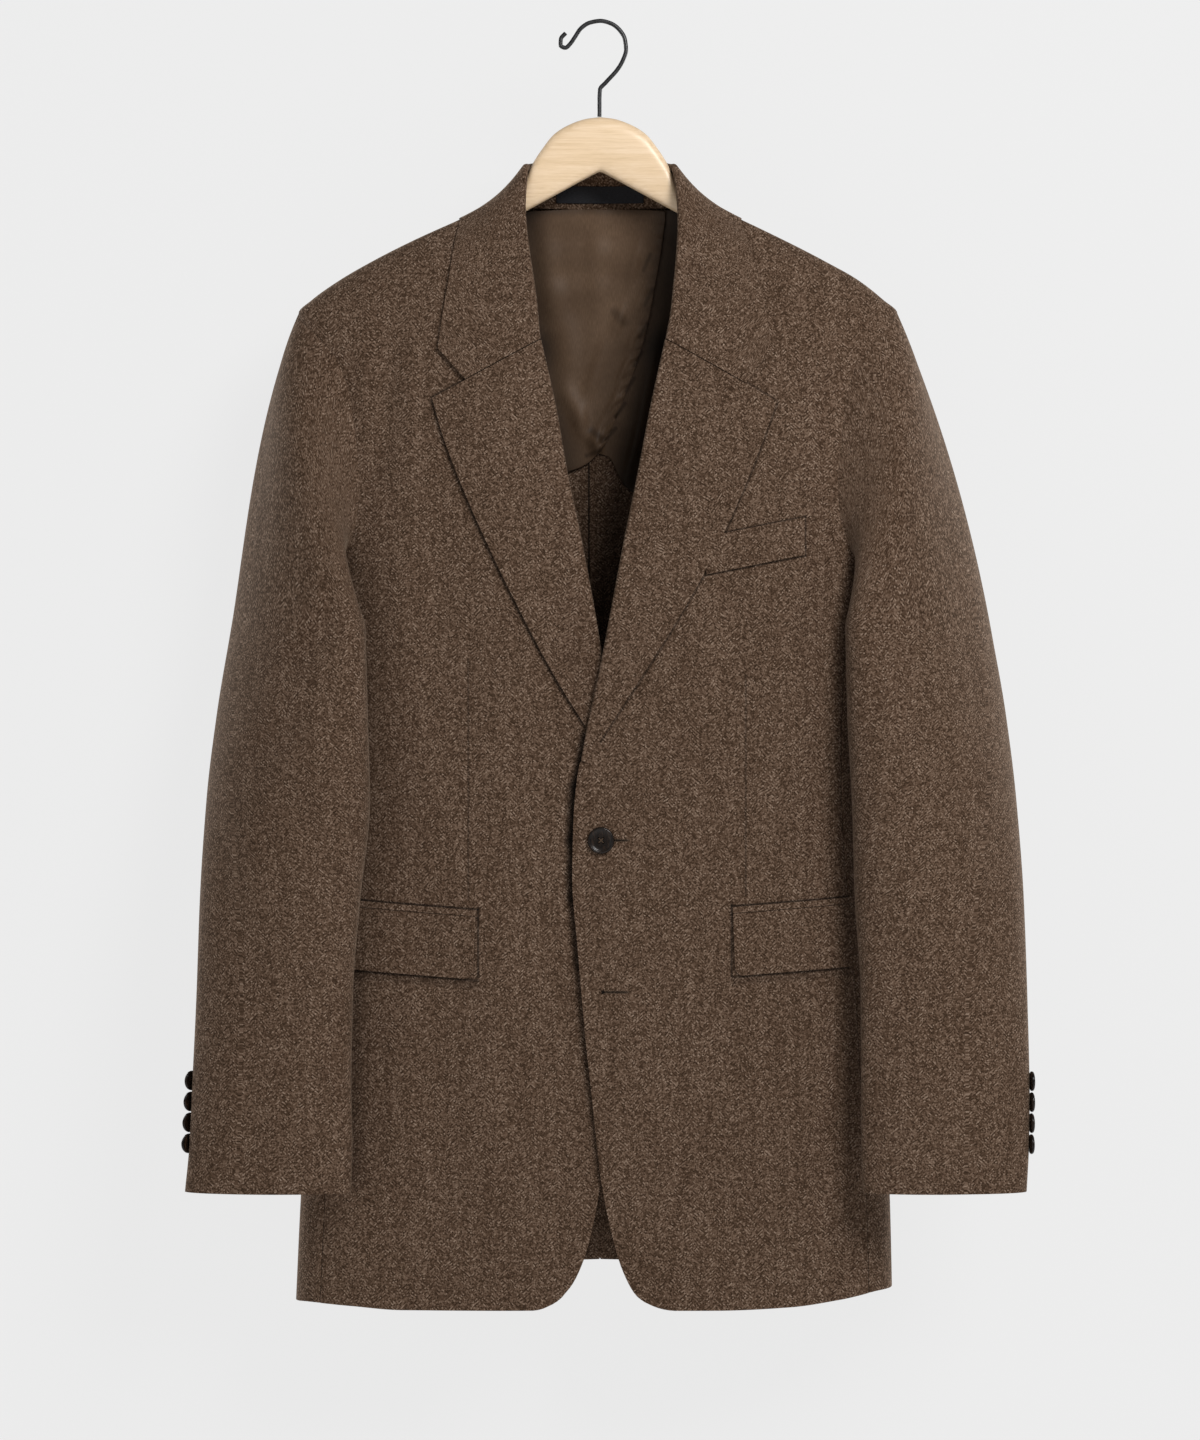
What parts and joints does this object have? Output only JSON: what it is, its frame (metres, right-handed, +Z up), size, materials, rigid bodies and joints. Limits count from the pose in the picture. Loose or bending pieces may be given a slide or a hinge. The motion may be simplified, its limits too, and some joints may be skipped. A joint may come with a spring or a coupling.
{
  "type": "flannel sport jacket on a hanger",
  "caption": "Brown flannel sport jacket with notch lapels and flap pockets, hanging on a wooden hanger with a wire hook.",
  "frame": {"origin": "inside the top of the hook, where a rail bears on it", "axes": "+Z up, -Y towards the front of the jacket, +X towards the wearer's left sleeve"},
  "size_m": [0.6256, 0.138, 0.962],
  "materials": {
    "flannel": "brown melange wool flannel",
    "lining": "brown satin lining",
    "horn": "dark horn, polished",
    "label": "plain dark woven label",
    "wood": "pale lacquered beech",
    "wire": "black painted steel wire"
  },
  "bodies": {
    "root": {"front_right": "flannel", "side_right": "flannel", "back_right": "flannel", "top_sleeve_right": "flannel", "under_sleeve_right": "flannel", "front_left": "flannel", "side_left": "flannel", "back_left": "flannel", "top_sleeve_left": "flannel", "under_sleeve_left": "flannel", "collar": "flannel", "lapel_right": "flannel", "lapel_left": "flannel", "flap_right": "flannel", "flap_left": "flannel", "jet_right": "flannel", "jet_left": "flannel", "breast_welt": "flannel", "back_lining_right": "lining", "back_lining_left": "lining", "front_button": "horn", "lower_button": "horn", "cuff_button_right_1": "horn", "cuff_button_right_2": "horn", "cuff_button_right_3": "horn", "cuff_button_right_4": "horn", "cuff_button_left_1": "horn", "cuff_button_left_2": "horn", "cuff_button_left_3": "horn", "cuff_button_left_4": "horn", "neck_label": "label", "hanger_wood": "wood", "hanger_hook": "wire"}
  },
  "joints": []
}
